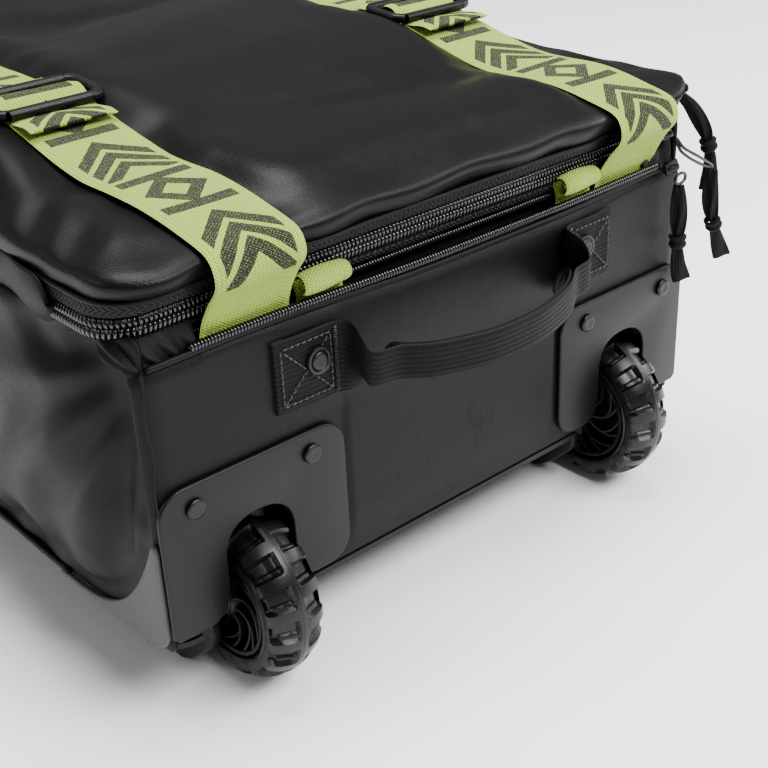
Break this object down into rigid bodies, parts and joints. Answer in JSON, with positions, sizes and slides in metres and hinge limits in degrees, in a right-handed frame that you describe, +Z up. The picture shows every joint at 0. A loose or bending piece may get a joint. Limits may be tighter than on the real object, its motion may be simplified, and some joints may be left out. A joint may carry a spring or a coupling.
{
  "type": "rolling duffel bag",
  "caption": "Soft-sided rolling duffel with off-road wheels, telescopic pull handle, zipped opening lid, webbing grab handles and cargo straps.",
  "frame": {"origin": "middle of the footprint, on the ground, with the bag lying on its back on its wheels and skid rails", "axes": "+X to the right seen from the wheel end, +Y from the wheel end to the pull-handle end, +Z up"},
  "size_m": [0.4311, 0.5999, 0.2578],
  "materials": {
    "coated": "smooth matte coated woven polyester over foam",
    "twill": "soft black fine twill",
    "plastic": "moulded, finely textured",
    "guard": "moulded warm grey, satin matte",
    "tyre": "satin moulded off-road tread",
    "lime": "pale lime flat webbing",
    "webbing": "black ribbed webbing",
    "zip": "black coil on woven tape",
    "steel": "plated",
    "aluminium": "satin anodised"
  },
  "bodies": {
    "shell": {"wheel_end_panel": "coated", "kick_plate_left": "plastic", "kick_plate_right": "plastic", "plate_rivet_left_outer": "steel", "plate_rivet_left_inner": "steel", "plate_rivet_right_outer": "steel", "plate_rivet_right_inner": "steel", "side_panel_left": "twill", "side_panel_right": "twill", "corner_guard_left": "guard", "corner_guard_right": "guard", "wheel_housing_left": "plastic", "wheel_housing_right": "plastic", "skid_fork_left": "plastic", "skid_fork_right": "plastic", "skid_rail_left": "plastic", "skid_rail_right": "plastic", "base_tray": "plastic", "floor_board": "plastic", "rear_panel": "twill", "axle_left": "steel", "axle_right": "steel", "main_zip_lower": "zip", "strap_zip_lower": "zip", "strap_zip_upper": "zip", "strap_pocket_liner": "twill", "front_handle_tab_left": "webbing", "front_handle_tab_right": "webbing", "handle_rivet_left": "steel", "handle_rivet_right": "steel", "left_handle_strip": "webbing", "right_handle_strip": "webbing", "trolley_outer_tube_left": "aluminium", "trolley_outer_tube_right": "aluminium", "trolley_bezel": "plastic", "front_slider": "steel"},
    "wheel_left": {"tyre_left": "tyre", "rim_left": "plastic"},
    "wheel_right": {"tyre_right": "tyre", "rim_right": "plastic"},
    "lid": {"lid_shell": "coated", "main_zip_upper": "zip", "cargo_strap_left": "lime", "cargo_strap_right": "lime", "tri_glide_left": "plastic", "tri_glide_right": "plastic"},
    "pull_handle": {"trolley_inner_tube_left": "aluminium", "trolley_inner_tube_right": "aluminium", "trolley_grip": "plastic"},
    "release_button": {"trolley_button": "plastic"},
    "front_handle": {"front_grab_handle": "webbing"},
    "left_handle": {"left_grab_handle": "webbing"},
    "right_handle": {"right_grab_handle": "webbing"},
    "side_pull": {"side_slider": "steel", "side_pull_ribbon": "webbing"},
    "front_pull": {"front_pull_wire": "steel", "front_pull_ribbon": "webbing"},
    "strap_zip_slider": {"strap_slider": "steel"},
    "strap_pull": {"strap_pull_wire": "steel", "strap_pull_ribbon": "webbing"}
  },
  "joints": [
    {"name": "wheel_left_spin", "type": "hinge", "parent": "shell", "child": "wheel_left", "pos_m": [-0.1283, -0.2416, 0.0445], "axis": [1, 0, 0], "continuous": true},
    {"name": "wheel_right_spin", "type": "hinge", "parent": "shell", "child": "wheel_right", "pos_m": [0.1283, -0.2416, 0.0445], "axis": [1, 0, 0], "continuous": true},
    {"name": "lid_opening", "type": "hinge", "parent": "shell", "child": "lid", "pos_m": [-0.188, 0.0165, 0.1993], "axis": [0, -1, 0], "range_deg": [0, 105]},
    {"name": "pull_handle_slide", "type": "slide", "parent": "shell", "child": "pull_handle", "axis": [0, 1, 0], "range_m": [0, 0.38]},
    {"name": "button_press", "type": "slide", "parent": "pull_handle", "child": "release_button", "axis": [0, -1, 0], "range_m": [0, 0.0025], "stiffness_N_per_m": 600},
    {"name": "front_handle_swing", "type": "hinge", "parent": "shell", "child": "front_handle", "pos_m": [0, -0.267, 0.156], "axis": [1, 0, 0], "range_deg": [-50, 50]},
    {"name": "left_handle_swing", "type": "hinge", "parent": "shell", "child": "left_handle", "pos_m": [-0.2016, 0.04, 0.12], "axis": [0, 1, 0], "range_deg": [-35, 35]},
    {"name": "right_handle_swing", "type": "hinge", "parent": "shell", "child": "right_handle", "pos_m": [0.2016, 0.04, 0.12], "axis": [0, 1, 0], "range_deg": [-35, 35]},
    {"name": "side_zip_slide", "type": "slide", "parent": "shell", "child": "side_pull", "axis": [0, 1, 0], "range_m": [0, 0.46]},
    {"name": "front_pull_lift", "type": "hinge", "parent": "shell", "child": "front_pull", "pos_m": [0.173, -0.2517, 0.1965], "axis": [0, -1, 0], "range_deg": [0, 40]},
    {"name": "strap_zip_slide", "type": "slide", "parent": "shell", "child": "strap_zip_slider", "axis": [-1, 0, 0], "range_m": [0, 0.3], "deforming": ["strap_pull_ribbon"]},
    {"name": "strap_pull_lift", "type": "hinge", "parent": "strap_zip_slider", "child": "strap_pull", "pos_m": [0.165, -0.2628, 0.1797], "axis": [-1, 0, 0], "range_deg": [0, 60]}
  ]
}
